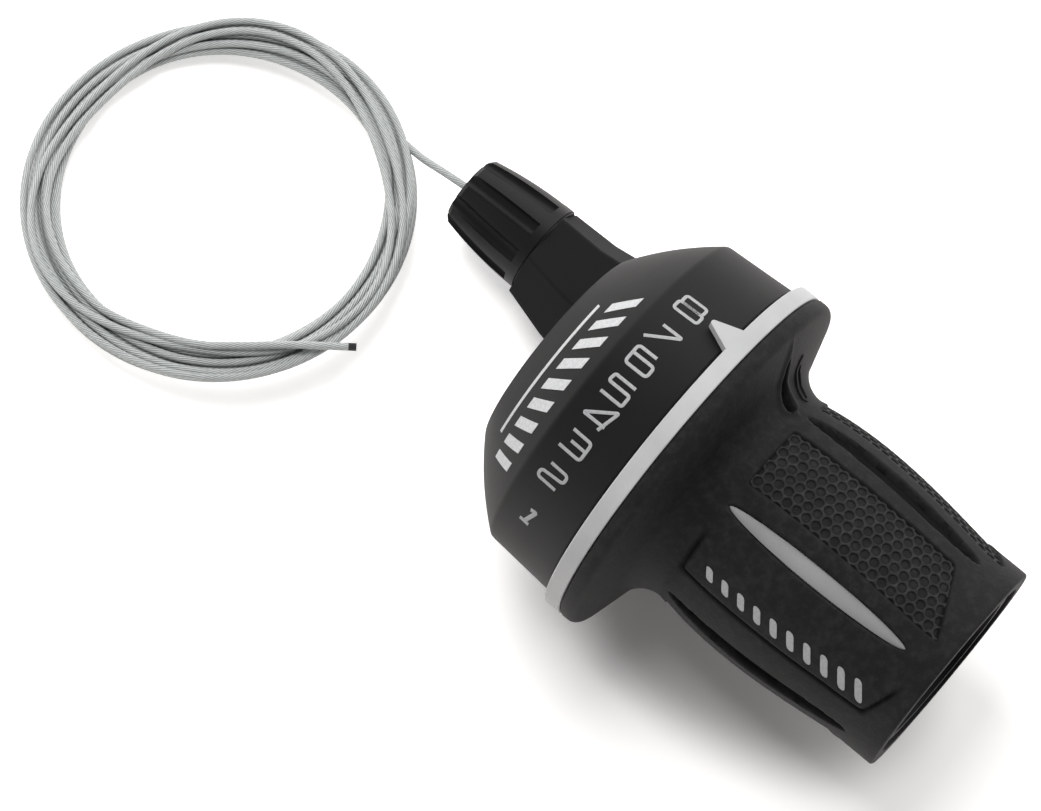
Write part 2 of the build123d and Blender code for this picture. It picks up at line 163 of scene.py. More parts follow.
# Plain bar marks on the cone and on the grip's plate
CONE_MARK_ANGLES = (87.0, 158.0)
CONE_MARK_X = (-17.2, -14.2)
CONE_MARK_COUNT = 9
CONE_MARK_WIDTH = 1.75
CONE_MARK_SLANT = 1.1
CONE_MARK_ROWS = 10
CONE_MARK_COLUMNS = 6
CONE_LINE_X = -18.6
CONE_LINE_WIDTH = 0.4
CONE_LINE_SHARE = 0.93
CONE_LINE_ROWS = 3
CONE_LINE_COLUMNS = 80
PLATE_MARK_ANGLE = 147.5
PLATE_MARK_X = (15.0, 39.5)
PLATE_MARK_COUNT = 10
PLATE_MARK_WIDTH = 1.15
PLATE_MARK_HEIGHT = 3.0
PLATE_MARK_SLANT = 0.9
PLATE_MARK_LEAST = 0.55
PLATE_MARK_SQUARENESS = 7
PLATE_MARK_TIP = 0.01
PLATE_MARK_ROWS = 25
PLATE_MARK_COLUMNS = 7

# Washer in the running gap between the adjuster's knob and its boss
BARREL_AXIS = (16.662, -15.135)
WASHER_X = (-35.98, -35.72)
WASHER_RADIUS = 6.6
WASHER_BORE = 3.4
WASHER_COLUMNS = 64

# Gear cable, as it lies: from the adjuster's tip under the coil, four laps of the coil, and the free end
CABLE_DIAMETER = 1.1
CABLE_COLUMNS = 12
CABLE_ROW_SPACING = 0.55
LEAD_POINTS = [
    (-49.6, 16.662, -15.135),
    (-54.4, 16.46, -15.705),
    (-59.7, 16.85, -18.2),
    (-69.7, 18.5, -18.9),
]
TAIL_POINTS = [
    (-63.85, -26.6, -20.0),
    (-57.95, -22.15, -18.2),
    (-52.3, -17.2, -17.2),
    (-45.85, -12.25, -16.4),
]
# Lanes are distances from the mean radius, given by turn. Levels over the coil's plane and waves across it
# are given by lap. The waves grow and die away about a turn, over a width in turns.
COIL_CENTRE = np.array([-75.9, -6.15, -21.15])
COIL_NORMAL = np.array([-0.1028, -0.1024, 0.9894])
COIL_RADIUS = 25.5
COIL_TURNS = 11.49
COIL_LAP_ENDS = (2.2, 6.4, 9.7)
COIL_STEP_TURNS = 0.3
COIL_LANE_TURNS = (0.0, 2.2, 6.0, 6.8, 9.4, 10.0, 11.49)
COIL_LANES = (0.3, 2.0, -2.0, -1.4, 2.45, 0.7, -1.65)
COIL_LEVELS = (-1.35, -0.45, 0.5, 1.4)
COIL_WAVES = (0.1, 0.27, 0.36, 1.7)
COIL_WAVE_ANGLES = (295.0, 336.0, 191.0, 98.0)
COIL_BOWS = 3
COIL_WAVE_START = (0.5, 1.0)
COIL_WAVE_END = (0.15, 0.3)
POINTS_PER_TURN = 24
POINTS_FROM_LEAD = 2
SPLINE_SHRINK = 0.75

# Camera, from the photograph's 1041 by 811 frame
PHOTO_WIDTH = 1041.0
PHOTO_HEIGHT = 811.0
PIXELS_PER_MM = 7.4
CAMERA_DISTANCE = 587.0
ORIGIN_PIXEL = (682.8, 451.0)
AXIS_TILT = 9.03
CAMERA_ANGLE = 112.0
IMAGE_SPIN = 39.55
SENSOR_WIDTH = 36.0

# White table: its tilt, its own glow, stronger on the coil's side, and the shade under the grip without it
FLOOR_Z = -27.65
FLOOR_SLOPES = (-0.0238, 0.104)
FLOOR_HALF = 3000.0
FLOOR_LEVEL = 0.9
FLOOR_WARMTH = 0.025
GLOW_STRENGTH = 0.34
GLOW_COIL_LEVEL = 1.5
GLOW_GRIP_LEVEL = 1.0
GLOW_EDGE_X = -32.0
GLOW_EDGE_WIDTH = 30.0
GLOW_IN_SHEEN = 0.5
SHADE_MIDDLE_X = 17.0
SHADE_LENGTH = 28.0
SHADE_WIDTH = 18.6
SHADE_EDGE = 1.15
SHADE_EDGE_WIDTH = 1.0

# Light: grey levels of the tent round the part, the edges and widths of its sides, and the lamp above
TENT_LOW_LEVEL = 0.5
TENT_TOP_LEVEL = 0.15
TENT_GRIP_LEVEL = 0.18
TENT_CONE_LEVEL = 1.1
TENT_FAR_LEVEL = 1.7
TENT_TOP_EDGE = (0.42, 0.7)
TENT_GRIP_EDGE = (0.4, 0.6)
TENT_CONE_EDGE = (0.65, 0.6)
TENT_CONE_TOP = (0.5, 0.5)
TENT_FAR_EDGE = (0.3, 0.36)
TENT_FAR_FOOT = (0.4, 0.3)
LAMP_PLACE = (-330.0, -20.0, 950.0)
LAMP_AIM = (-10.0, 0.0, 0.0)
LAMP_SIZE = 480.0
LAMP_POWER = 9.2

# Finishes: noise scales in blobs to the metre, bumps in metres, spreads as shares
PLASTIC_CLOUD_SCALE = 70.0
PLASTIC_GRAIN_SCALE = 5200.0
PLASTIC_CLOUDING = 0.12
PLASTIC_GLOSS_SPREAD = 0.1
MATTE_GAIN = 0.22
MATTE_EDGE_WIDTH = 0.001
RUBBER_MOTTLE_SCALE = 650.0
RUBBER_GRAIN_SCALE = 2600.0
RUBBER_DUST = 0.3
RUBBER_ROUGHNESS = 0.6
RUBBER_MOTTLE_ROUGHNESS = 0.14
RUBBER_CREASE_ROUGHNESS = 0.2
RUBBER_MOTTLE_HEIGHT = 1.6
RUBBER_BUMP = 0.000035
# Colour of the painted shade that the rubber's attribute lays into its creases, pits, grooves and slot
PAINTED_SHADE_LEVEL = 0.002
INK_SPECKLE_SCALE = 2600.0
INK_SPECKLING = 0.1
INK_COOLNESS = -0.01
STEEL_MARK_SCALE = 1500.0
STEEL_MARKING = 0.1
STEEL_GLOSS_SPREAD = 0.12
STEEL_BUMP = 0.000008
WIRE_STRANDS = 12.0
WIRE_STRANDS_PER_METRE = 1000.0
WIRE_GRIME_SCALE = 900.0
WIRE_GRIME = 0.3
# Wire colour in the valleys between strands, which is painted shade, and on the strands' crests
WIRE_VALLEY_PAINTED_SHADE = (0.25, 0.262, 0.258, 1.0)
WIRE_CREST = (0.78, 0.81, 0.8, 1.0)
WIRE_TIP_LENGTH = 0.0011
WIRE_TIP_EDGE = 0.0002
WIRE_TIP_LEVEL = 0.03
WIRE_BUMP = 0.00009


class Value:
    """A shader socket that adds Math nodes for the arithmetic written on it."""

    def __init__(self, shading, socket):
        self.shading = shading
        self.socket = socket

    def math(self, operation, *others, swap=False):
        parts = [self, *others]
        if swap:
            parts.reverse()
        return self.shading.node("ShaderNodeMath", {"operation": operation}, dict(enumerate(parts)))

    def __add__(self, other):
        return self.math("ADD", other)

    def __sub__(self, other):
        return self.math("SUBTRACT", other)

    def __mul__(self, other):
        return self.math("MULTIPLY", other)

    def __rsub__(self, other):
        return self.math("SUBTRACT", other, swap=True)

    __radd__ = __add__
    __rmul__ = __mul__

    def part(self, output):
        """Another output of the node that this value comes from."""
        return Value(self.shading, self.socket.node.outputs[output])

    def above(self, edge, width):
        """0 below the edge and 1 above it, smooth over the width."""
        limits = {"From Min": edge - width / 2, "From Max": edge + width / 2}
        smooth = {"interpolation_type": "SMOOTHSTEP"}
        return self.shading.node("ShaderNodeMapRange", smooth, {"Value": self, **limits})


class Shading:
    """A node tree whose nodes are added one by one, and the shader that they feed."""

    def __init__(self, tree, shader):
        self.tree = tree
        self.shader = tree.nodes[shader]

    def node(self, kind, settings=None, inputs=None, output=0):
        """Adds a node, sets it up, fills its sockets and returns one of its outputs."""
        node = self.tree.nodes.new(kind)
        for key, value in (settings or {}).items():
            setattr(node, key, value)
        for key, value in (inputs or {}).items():
            self.feed(node.inputs[key], value)
        return Value(self, node.outputs[output])

    def feed(self, socket, value):
        """Links a value to a socket, or sets the socket's own number or colour."""
        if isinstance(value, Value):
            self.tree.links.new(value.socket, socket)
        else:
            socket.default_value = value

    def set(self, **values):
        """Feeds values to the shader's sockets."""
        for socket, value in values.items():
            self.feed(self.shader.inputs[socket.replace("_", " ")], value)

    def place(self, kind="Object"):
        """Object coordinates, or the direction seen where the kind is Generated in a world."""
        return self.node("ShaderNodeTexCoord", output=kind)

    def noise(self, scale, detail=3.0, roughness=0.55):
        """Noise of about so many blobs to the metre."""
        sockets = {"Vector": self.place(), "Scale": scale, "Detail": detail, "Roughness": roughness}
        return self.node("ShaderNodeTexNoise", {}, sockets)

    def mix(self, factor, first, second):
        """Colour between two colours."""
        sockets = {"Factor": factor, 6: first, 7: second}
        return self.node("ShaderNodeMix", {"data_type": "RGBA"}, sockets, output=2)

    def bump(self, height, distance):
        """Feeds a height in units of a distance in metres to the shader's normal."""
        normal = self.node("ShaderNodeBump", {}, {"Height": height, "Distance": distance})
        self.feed(self.shader.inputs["Normal"], normal)


def new_finish(name, **sockets):
    """A Principled material and the shading that feeds it."""
    material = bpy.data.materials.new(name)
    material.use_nodes = True
    shading = Shading(material.node_tree, "Principled BSDF")
    shading.set(**sockets)
    return material, shading


def grey(level, warmth=0.0):
    """Colour of a grey level, a little warmer or cooler."""
    return (level * (1 + warmth), level, level * (1 - warmth), 1.0)


def moulded_plastic(name, level, roughness, grain, warmth=0.0, matte_below=-1.0):
    """Satin moulded plastic: fine grain, faint clouding, uneven gloss, and duller below a place along X."""
    material, shading = new_finish(name, Specular_IOR_Level=0.33)
    cloud = shading.noise(PLASTIC_CLOUD_SCALE, detail=4.0)
    fine = shading.noise(PLASTIC_GRAIN_SCALE, detail=2.0)
    tint = cloud.above(0.5, 0.5)
    along = shading.node("ShaderNodeSeparateXYZ", {}, {0: shading.place()})
    matte = 1.0 - along.above(matte_below, MATTE_EDGE_WIDTH)
    dark = grey(level * (1 - PLASTIC_CLOUDING), warmth)
    pale = grey(level * (1 + PLASTIC_CLOUDING), warmth)
    glossiest = roughness - PLASTIC_GLOSS_SPREAD / 2
    shading.set(
        Base_Color=shading.mix(tint, dark, pale),
        Roughness=glossiest + PLASTIC_GLOSS_SPREAD * cloud + MATTE_GAIN * matte,
    )
    shading.bump(fine, grain)
    return material


def grip_rubber(name, level):
    """Matte moulded rubber: dusty mottle, leathery grain, and painted shade in its creases from the mesh's
    attribute.
    """
    material, shading = new_finish(name, Specular_IOR_Level=0.22)
    mottle = shading.noise(RUBBER_MOTTLE_SCALE, detail=6.0, roughness=0.7)
    grain = shading.noise(RUBBER_GRAIN_SCALE)
    dust = mottle.above(0.55, 0.3)
    painted_shade = shading.node("ShaderNodeAttribute", {"attribute_name": "painted_shade"}, output="Fac")
    skin = shading.mix(dust, grey(level * (1 - RUBBER_DUST)), grey(level * (1 + RUBBER_DUST)))
    shading.set(
        # Painted shade: the base colour goes dark where the mesh's attribute is high
        Base_Color=shading.mix(painted_shade, skin, grey(PAINTED_SHADE_LEVEL)),
        Roughness=RUBBER_ROUGHNESS + RUBBER_MOTTLE_ROUGHNESS * mottle + RUBBER_CREASE_ROUGHNESS * painted_shade,
    )
    shading.bump(grain + RUBBER_MOTTLE_HEIGHT * mottle, RUBBER_BUMP)
    return material


def printed_ink(name, level):
    """Pad-printed ink with a slight break-up."""
    material, shading = new_finish(name, Specular_IOR_Level=0.4)
    speckle = shading.noise(INK_SPECKLE_SCALE)
    thin = grey(level * (1 - INK_SPECKLING), INK_COOLNESS)
    thick = grey(level * (1 + INK_SPECKLING), INK_COOLNESS)
    shading.set(
        Base_Color=shading.mix(speckle.above(0.5, 0.4), thin, thick),
        Roughness=0.4 + 0.15 * speckle,
    )
    return material


def plain_steel(name, level, roughness):
    """Plated, blackened or bright steel with faint drawing marks."""
    material, shading = new_finish(name, Metallic=1.0)
    marks = shading.noise(STEEL_MARK_SCALE)
    shading.set(
        Base_Color=shading.mix(marks, grey(level * (1 - STEEL_MARKING)), grey(level * (1 + STEEL_MARKING))),
        Roughness=roughness - STEEL_GLOSS_SPREAD / 2 + STEEL_GLOSS_SPREAD * marks,
    )
    shading.bump(marks, STEEL_BUMP)
    return material


def stranded_wire(length):
    """Galvanised wire rope: slanting strands on the tube's UV map, in metres, painted shade in the valleys
    between them, and a dark fused tip.
    """
    material, shading = new_finish("stranded_wire", Metallic=0.3)
    tube_map = shading.node("ShaderNodeUVMap", {"uv_map": "along"})
    along = shading.node("ShaderNodeSeparateXYZ", {}, {0: tube_map})
    around_wire = along.part(1)
    strand_phase = (around_wire * WIRE_STRANDS + along * WIRE_STRANDS_PER_METRE) * (2 * np.pi)
    crest = strand_phase.math("SINE") * 0.5 + 0.5
    grime = shading.noise(WIRE_GRIME_SCALE, detail=4.0)
    end = along.above(length - WIRE_TIP_LENGTH, WIRE_TIP_EDGE)
    # Painted shade: darker in the valleys between the strands
    wire = shading.mix(crest * (1 - WIRE_GRIME) + grime * WIRE_GRIME, WIRE_VALLEY_PAINTED_SHADE, WIRE_CREST)
    shading.set(
        Base_Color=shading.mix(end, wire, grey(WIRE_TIP_LEVEL)),
        Roughness=0.34 + 0.16 * grime,
    )
    shading.bump(crest, WIRE_BUMP)
    return material


def grid_faces(rows, columns, wrap_rows=False, wrap_columns=False):
    """Quads of a grid of points, facing out where rows run along +X and columns towards larger angles."""
    row = np.arange(rows if wrap_rows else rows - 1)[:, None]
    column = np.arange(columns if wrap_columns else columns - 1)[None, :]
    next_row = (row + 1) % rows
    next_column = (column + 1) % columns
    corners = [
        row * columns + column,
        row * columns + next_column,
        next_row * columns + next_column,
        next_row * columns + column,
    ]
    return np.stack(corners, axis=-1).reshape(-1, 4)


def put_piece(name, points, faces, material, body, sharp_angle=PLAIN_ANGLE):
    """Mesh object in place from points in millimetres, shaded smooth but at edges sharper than an angle."""
    mesh = bpy.data.meshes.new(name)
    faces = faces.tolist() if isinstance(faces, np.ndarray) else faces
    mesh.from_pydata((np.asarray(points, float) * MM).reshape(-1, 3), [], faces)
    mesh.polygons.foreach_set("use_smooth", np.ones(len(mesh.polygons), bool))
    mesh.set_sharp_from_angle(angle=np.radians(sharp_angle))
    mesh.materials.append(material)
    piece = bpy.data.objects.new(name, mesh)
    bpy.context.scene.collection.objects.link(piece)
    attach(piece, body)
    return piece


def skin_of(node, material, body):
    """Copy of a CAD node with its triangles' corners merged and its normals weighted by area."""
    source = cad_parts[node].data
    places = np.empty(len(source.vertices) * 3)
    source.vertices.foreach_get("co", places)
    places = places.reshape(-1, 3) / MM
    corners = np.empty(len(source.loops), int)
    source.loops.foreach_get("vertex_index", corners)
    keys = np.round(places / MERGE_DISTANCE)
    first, merged = np.unique(keys, axis=0, return_index=True, return_inverse=True)[1:]
    triangles = merged.reshape(-1)[corners].reshape(-1, 3)
    whole = (triangles != np.roll(triangles, 1, axis=1)).all(axis=1)
    piece = put_piece(f"{node}_skin", places[first], triangles[whole], material, body, SKIN_ANGLE)
    even = piece.modifiers.new("even_shading", "WEIGHTED_NORMAL")
    even.keep_sharp = True
    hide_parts(node)
    return piece


def paint(node, material):
    """Gives a CAD node that stays its finish."""
    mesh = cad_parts[node].data
    mesh.materials.clear()
    mesh.materials.append(material)


def smooth_step(value, width):
    """0 where the value is below minus half the width, 1 above half of it, smooth between."""
    share = np.clip(value / width + 0.5, 0.0, 1.0)
    return share * share * (3.0 - 2.0 * share)


def rounded_line(points, radii, steps=10):
    """Polyline with its corners replaced by arcs that touch both of their sides."""
    points = np.asarray(points, float)
    line = [points[:1]]
    for before, corner, after, radius in zip(points, points[1:], points[2:], radii):
        inward = (before - corner) / np.linalg.norm(before - corner)
        outward = (after - corner) / np.linalg.norm(after - corner)
        half = np.arccos(np.clip(inward @ outward, -1, 1)) / 2
        bisector = (inward + outward) / np.linalg.norm(inward + outward)
        centre = corner + bisector * radius / np.sin(half)
        start = corner + inward * radius / np.tan(half) - centre
        end = corner + outward * radius / np.tan(half) - centre
        turn = np.pi - 2 * half
        share = np.linspace(0, 1, steps)[:, None]
        arc = np.sin((1 - share) * turn) * start + np.sin(share * turn) * end
        line.append(centre + arc / np.sin(turn))
    line.append(points[-1:])
    return np.concatenate(line)


def resample(line, spacing):
    """Points along a polyline at about a spacing, with its length shared out evenly."""
    lengths = np.concatenate([[0.0], np.cumsum(np.linalg.norm(np.diff(line, axis=0), axis=1))])
    count = max(2, int(np.ceil(lengths[-1] / spacing)) + 1)
    at = np.linspace(0.0, lengths[-1], count)
    return np.stack([np.interp(at, lengths, line[:, axis]) for axis in range(line.shape[1])], axis=1)


RIM_X = RING_OUTER_X + BOND_GAP + FLANGE_RIM
ROOT_X = RIM_X + (FLANGE_RADIUS - NECK_RADIUS) * FLANGE_LEAN
NECK = (ROOT_X + NECK_RUN, NECK_RADIUS)
BODY_CURVE = np.polyfit(*np.transpose([NECK, BELLY, WAIST, COLLAR]), 3)


def grip_outline():
    """Outer outline of the rubber: flange with rounded rim and root, the belly's cubic, collar and end."""
    flange = rounded_line(
        [
            (RING_OUTER_X + BOND_GAP, FLANGE_RADIUS - FLANGE_FACE),
            (RING_OUTER_X + BOND_GAP, FLANGE_RADIUS),
            (RIM_X, FLANGE_RADIUS),
            (ROOT_X, NECK_RADIUS),
            NECK,
        ],
        FLANGE_ROUNDS,
    )
    belly_x = np.linspace(NECK[0], COLLAR[0], BELLY_POINTS)[1:]
    belly = np.stack([belly_x, np.polyval(BODY_CURVE, belly_x)], axis=1)
    end = rounded_line(
        [COLLAR, (RUBBER_END_X, COLLAR[1]), (RUBBER_END_X, LIP_BORE)],
        [END_ROUND],
        steps=6,
    )
    return np.concatenate([flange, belly, end[1:]])


OUTLINE = grip_outline()
SHOWN_OUTLINE = OUTLINE[(OUTLINE[:, 0] > RIM_X - RIM_MARGIN) & (OUTLINE[:, 0] < RUBBER_END_X - END_ROUND)]


def grip_radius(x):
    """Radius of the rubber's outline from the flange's rim to its end."""
    return np.interp(x, SHOWN_OUTLINE[:, 0], SHOWN_OUTLINE[:, 1])


def band_radius(x):
    """Radius of the number band, which grows a little towards its mouth."""
    return np.interp(x, [CREASE_X, MOUTH_X], [CREASE_RADIUS, MOUTH_RADIUS])


def cone_radius(x):
    """Radius of the domed cone: its straight side moved square to itself by a parabola."""
    share = np.linspace(0.0, 1.0, 200)
    run = CREASE_X - HOUSING_END_X
    rise = CREASE_RADIUS - CONE_SMALL_RADIUS
    hump = CONE_DOME * 4 * share * (1 - share) / np.hypot(run, rise)
    side_x = HOUSING_END_X + run * share - rise * hump
    side_radius = CONE_SMALL_RADIUS + rise * share + run * hump
    return np.interp(x, side_x, side_radius)


def wrap(x, s, lift, angle, radius_at):
    """Places over a turned surface: x along it, s round it to smaller angles, lift along its normal."""
    step = 0.02
    radius = radius_at(x)
    slope = (radius_at(x + step) - radius_at(x - step)) / (2 * step)
    turn = np.radians(angle) - s / radius
    flat = 1.0 / np.hypot(1.0, slope)
    x = x - lift * slope * flat
    radius = radius + lift * flat
    return np.stack([x, radius * np.cos(turn), radius * np.sin(turn)], axis=-1)


def patch(x, s, low, high, angle, radius_at):
    """Closed slab over a turned surface: grids at the high and the low lift, and the wall between."""
    rows, columns = x.shape
    points = [wrap(x, s, lift, angle, radius_at).reshape(-1, 3) for lift in (high, low)]
    count = rows * columns
    upper = grid_faces(rows, columns)[:, ::-1]
    lower = grid_faces(rows, columns) + count
    index = np.arange(count).reshape(rows, columns)
    rim = np.concatenate([index[0, :-1], index[:-1, -1], index[-1, :0:-1], index[:0:-1, 0]])
    after = np.roll(rim, -1)
    wall = np.stack([rim, after, after + count, rim + count], axis=1)
    return np.concatenate(points), np.concatenate([upper, lower, wall])


def ribbon(line, width, low, high, angle, radius_at):
    """Raised stroke along a line on a turned surface: a low trapezium carried along it, its ends closed."""
    along = np.gradient(line, axis=0)
    along /= np.linalg.norm(along, axis=1, keepdims=True)
    side = np.stack([-along[:, 1], along[:, 0]], axis=1)
    across = np.array([-0.5, -0.5 * STROKE_FLAT, 0.5 * STROKE_FLAT, 0.5])
    flat = line[:, None, :] + width * across[None, :, None] * side[:, None, :]
    lift = np.broadcast_to([STROKE_EDGE * high, high, high, STROKE_EDGE * high], flat.shape[:2])
    return patch(flat[..., 0], flat[..., 1], low, lift, angle, radius_at)


def join(parts):
    """One list of points and one of faces from several."""
    starts = np.cumsum([0] + [len(points) for points, _ in parts])
    faces = [faces + start for (_, faces), start in zip(parts, starts)]
    return np.concatenate([points for points, _ in parts]), np.concatenate(faces)


def soft_least(edges):
    """Least of several distances, rounded where two of them meet; the clip keeps the powers finite."""
    spread = sum(np.exp(-np.clip(edge, -6, 20) / CORNER_SOFTNESS) for edge in edges)
    return -CORNER_SOFTNESS * np.log(spread)


def strip_end(s, width, end_x, slant):
    """Place of a strip's slanted end: the end's x at its lower edge, less the slant's share across it."""
    return end_x - slant / 2 - slant / width * s


def strip_inside(x, s, width, end_x, slant):
    """Depth inside a strip with a slanted end, in mm."""
    end = (strip_end(s, width, end_x, slant) - x) / np.hypot(1.0, slant / width)
    return soft_least([width / 2 - s, width / 2 + s, x - FIELD_START_X, end])


def lens_half_width(x):
    """Half width of a long lens: an ellipse along the bar."""
    middle = (FIELD_START_X + LENS_END_X) / 2
    share = np.abs((x - middle) / (LENS_END_X - middle))
    return LENS_WIDTH / 2 * np.sqrt(np.clip(1.0 - share ** 2, 0.0, 1.0))


def around(angle, centre, radius):
    """Distance round the bar from an angle, positive towards smaller angles, in mm."""
    turn = (centre - angle + 180.0) % 360.0 - 180.0
    return np.radians(turn) * radius


def near_edge(inside, width):
    """1 on an edge, falling off on both sides of it as a bell of some width."""
    return np.exp(-((inside / width) ** 2))


def plate_relief(x, angle, radius):
    """Height and painted shade of the raised plate: step and groove on three sides, faded out on the
    fourth.
    """
    s = around(angle, PLATE_ANGLE, radius)
    end = strip_end(s, PLATE_WIDTH, PLATE_END_X, PLATE_SLANT) - x
    inside = soft_least([PLATE_WIDTH / 2 + s, x - FIELD_START_X, end])
    fade = smooth_step(PLATE_WIDTH / 2 - PLATE_FADE / 2 - s, PLATE_FADE)
    # The plate's groove is cut and is also painted dark as shade
    groove = near_edge(inside + STEP_WIDTH, STEP_WIDTH) * fade
    step = PLATE_HEIGHT * smooth_step(inside, STEP_WIDTH) * fade
    return step - PLATE_GROOVE * groove, groove


def slot_relief(x, angle, radius):
    """Height and painted shade of the cable door's slot: a sunk drop that widens along the bar, with a lip;
    its inside is painted dark as shade.
    """
    share = np.clip((x - SLOT_START_X) / SLOT_LENGTH, 0.0, 1.0)
    half = SLOT_WIDTH / 2 * SLOT_DROP * share ** 0.8 * np.sqrt(1.0 - share ** 4)
    s = around(angle, SLOT_ANGLE, radius)
    beyond = np.clip(np.abs(x - SLOT_START_X - SLOT_LENGTH / 2) - SLOT_LENGTH / 2, 0.0, None)
    inside = half - np.abs(s) - beyond
    hole = smooth_step(inside - SLOT_WALL_GAP, SLOT_WALL)
    lip = SLOT_LIP * near_edge(inside + SLOT_LIP_OFFSET, SLOT_LIP_WIDTH)
    return lip * (1.0 - hole) - SLOT_DEPTH * hole, hole


def grip_relief(x, angle, radius):
    """Height of the rubber's pattern over its outline, and how much painted shade each place takes."""
    height, painted_shade = plate_relief(x, angle, radius)
    sunk, hole = slot_relief(x, angle, radius)
    height = height + sunk
    # The slot's inside takes painted shade
    painted_shade = painted_shade + hole
    for field in range(FIELD_COUNT):
        turn = field * FIELD_PITCH
        if field in PANEL_FIELDS:
            s = around(angle, PANEL_ANGLE + turn, radius)
            inside = strip_inside(x, s, PANEL_WIDTH, PANEL_END_X, PANEL_SLANT)
            height = height - (PANEL_DEPTH + PANEL_SEAT) * smooth_step(inside, STEP_WIDTH)
            # Painted shade line along the panel's edge
            painted_shade = painted_shade + near_edge(inside - PANEL_EDGE_SHADE_WIDTH / 2, PANEL_EDGE_SHADE_WIDTH)
        s = around(angle, LENS_ANGLE + turn, radius)
        inside = lens_half_width(x) - np.abs(s)
        from_end = np.minimum(x - FIELD_START_X, LENS_END_X - x)
        groove = smooth_step(inside - LENS_WALL_GAP, LENS_WALL) * smooth_step(from_end, LENS_END_WALL)
        height = height - LENS_DEPTH * groove
        # Painted shade in the lens's groove
        painted_shade = painted_shade + LENS_GROOVE_PAINTED_SHADE * groove
    return height, np.clip(painted_shade, 0.0, 1.0)


def make_rubber_grip(material):
    """Rubber grip: a closed outline turned about the bar, its outer rows moved in or out by the relief."""
    outer = resample(OUTLINE, GRIP_ROW_SPACING)
    along = np.gradient(outer, axis=0)
    normal = np.stack([-along[:, 1], along[:, 0]], axis=1) / np.linalg.norm(along, axis=1, keepdims=True)
    inner = np.array(
        [
            (TUBE_END_X + BOND_GAP, LIP_BORE),
            (TUBE_END_X + BOND_GAP, RUBBER_BORE),
            (RING_OUTER_X + BOND_GAP, RUBBER_BORE),
        ]
    )
    angle = np.arange(GRIP_COLUMNS) * 360.0 / GRIP_COLUMNS
    height, painted_shade = grip_relief(outer[:, :1], angle[None, :], outer[:, 1:])
    shown = (outer[:, :1] > RIM_X) & (outer[:, :1] < RUBBER_END_X - END_ROUND)
    height = np.where(shown, height, 0.0)
    inner_x = np.repeat(inner[:, :1], GRIP_COLUMNS, axis=1)
    inner_radius = np.repeat(inner[:, 1:], GRIP_COLUMNS, axis=1)
    x = np.concatenate([outer[:, :1] + height * normal[:, :1], inner_x])
    radius = np.concatenate([outer[:, 1:] + height * normal[:, 1:], inner_radius])
    painted_shade = np.concatenate([np.where(shown, painted_shade, 0.0), np.zeros((len(inner), GRIP_COLUMNS))])
    turn = np.radians(angle)[None, :]
    points = np.stack([x, radius * np.cos(turn), radius * np.sin(turn)], axis=-1)
    faces = grid_faces(len(x), GRIP_COLUMNS, wrap_rows=True, wrap_columns=True)
    piece = put_piece("rubber_grip_skin", points, faces, material, "grip", SOFT_ANGLE)
    # Painted shade at each point, which the rubber's material reads
    piece.data.attributes.new("painted_shade", "FLOAT", "POINT").data.foreach_set("value", painted_shade.ravel())
    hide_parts("rubber_grip")


def make_dimple_panel(field, material):
    """Dimpled panel in a sunk field: a slab whose top is dished by close rows of flat-bottomed pits."""
    half = PANEL_WIDTH / 2 + PANEL_MARGIN
    s = np.linspace(-half, half, int(2 * half / PANEL_SPACING))[::-1]
    end_x = strip_end(s, PANEL_WIDTH, PANEL_END_X, PANEL_SLANT) + PANEL_MARGIN
    rows = int((PANEL_END_X - FIELD_START_X) / PANEL_SPACING)
    share = np.linspace(0.0, 1.0, rows)[:, None]
    x = (FIELD_START_X - PANEL_MARGIN) * (1 - share) + end_x[None, :] * share
    s = np.repeat(s[None, :], rows, axis=0)
    line = np.round(s / DIMPLE_ROW)
    shift = (line % 2) * DIMPLE_PITCH / 2
    pit_x = np.round((x - shift) / DIMPLE_PITCH) * DIMPLE_PITCH + shift
    distance = np.hypot(x - pit_x, s - line * DIMPLE_ROW)
    pit = smooth_step(DIMPLE_RADIUS - distance, DIMPLE_WALL)
    top = -PANEL_DEPTH - DIMPLE_DEPTH * pit
    low = -PANEL_DEPTH - PANEL_SEAT - DIMPLE_DEPTH - PANEL_FLOOR
    angle = PANEL_ANGLE + field * FIELD_PITCH
    points, faces = patch(x, s, low, top, angle, grip_radius)
    name = f"dimple_panel_{field + 1}"
    piece = put_piece(name, points, faces, material, "grip", SOFT_ANGLE)
    # Painted shade in the pits: most on their walls, less on their floors
    wall = 4.0 * pit * (1.0 - pit)
    painted_shade = np.maximum(DIMPLE_WALL_PAINTED_SHADE * wall, DIMPLE_FLOOR_PAINTED_SHADE * pit)
    painted_shade = np.concatenate([painted_shade.ravel(), np.zeros(pit.size)])
    piece.data.attributes.new("painted_shade", "FLOAT", "POINT").data.foreach_set("value", painted_shade)


def make_lens(material):
    """Grey lens that shows through the grip: a slab of the lens's outline, crowned across."""
    reach = np.sin(np.linspace(-1.0, 1.0, LENS_ROWS) * np.pi / 2)
    middle = (FIELD_START_X + LENS_END_X) / 2
    x = middle + reach * (LENS_END_X - middle)
    across = np.linspace(1.0, -1.0, LENS_COLUMNS)
    half = np.maximum(LENS_SHARE * lens_half_width(x), LENS_TIP)
    s = half[:, None] * across[None, :]
    x = np.repeat(x[:, None], LENS_COLUMNS, axis=1)
    top = -LENS_SINK - LENS_CROWN * across[None, :] ** 2 + np.zeros_like(s)
    points, faces = patch(x, s, -LENS_DEPTH - LENS_ROOT, top, LENS_ANGLE, grip_radius)
    put_piece("grey_lens", points, faces, material, "grip")


